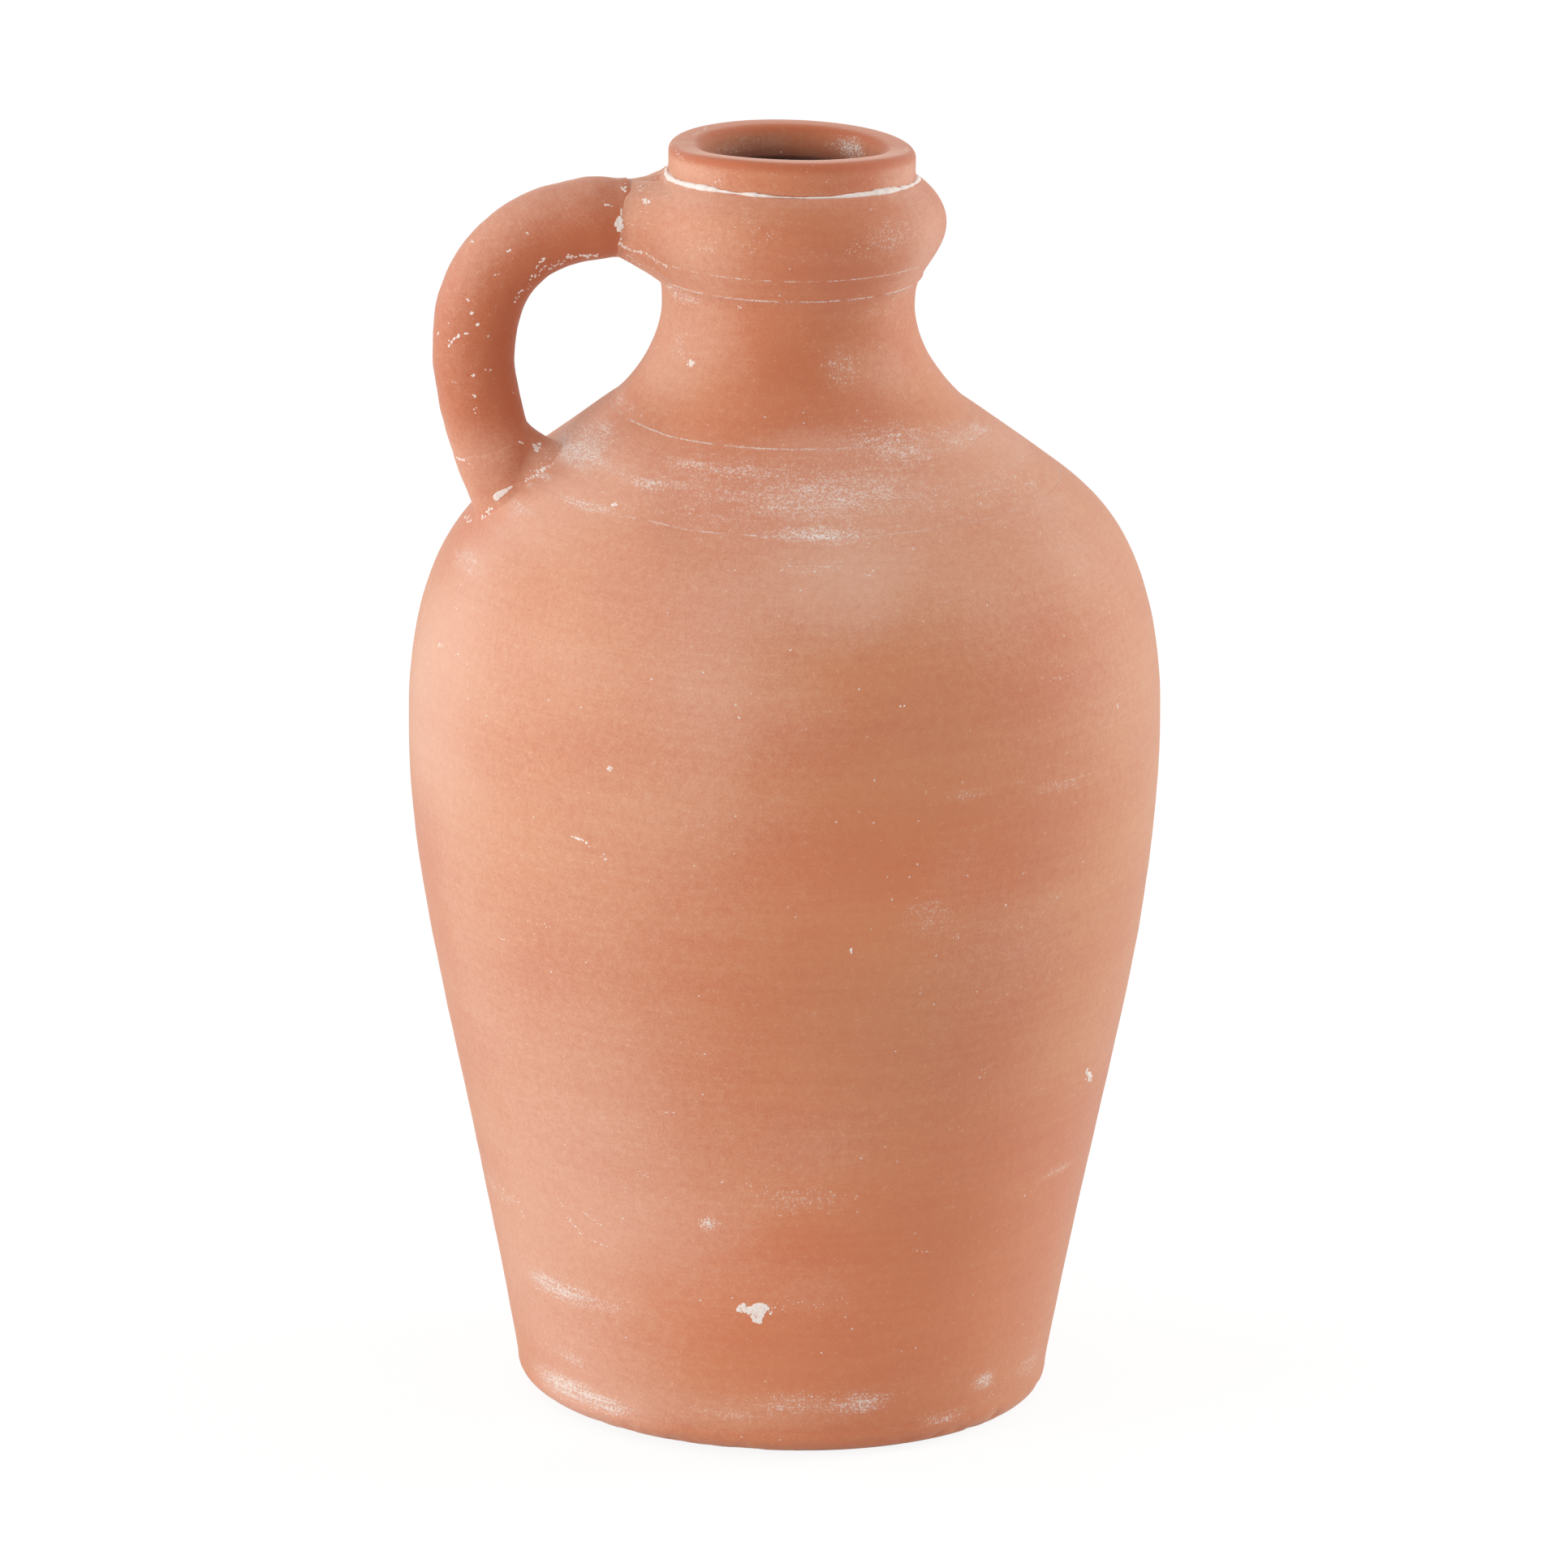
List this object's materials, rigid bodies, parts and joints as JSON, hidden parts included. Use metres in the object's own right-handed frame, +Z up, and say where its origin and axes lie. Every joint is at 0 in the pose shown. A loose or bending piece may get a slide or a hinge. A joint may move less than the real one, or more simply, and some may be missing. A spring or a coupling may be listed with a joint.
{
  "type": "terracotta jug",
  "caption": "Round-bellied unglazed terracotta jug with a waisted neck, bulged collar, square lip and one ear handle, for holding and pouring liquids.",
  "frame": {"origin": "on the jug's axis, in the plane it stands on", "axes": "+Z up along the jug's axis, -X towards the handle"},
  "size_m": [0.234, 0.234, 0.399],
  "materials": {
    "terracotta": "matte unglazed fired clay with pale lime bloom",
    "white_slip": "chalky white slip"
  },
  "bodies": {
    "root": {"base_slab": "terracotta", "belly_wall": "terracotta", "shoulder_ring": "terracotta", "neck": "terracotta", "collar": "terracotta", "lip": "terracotta", "slip_bead": "white_slip", "handle": "terracotta", "upper_stub": "terracotta", "lower_pad": "terracotta"}
  },
  "joints": []
}
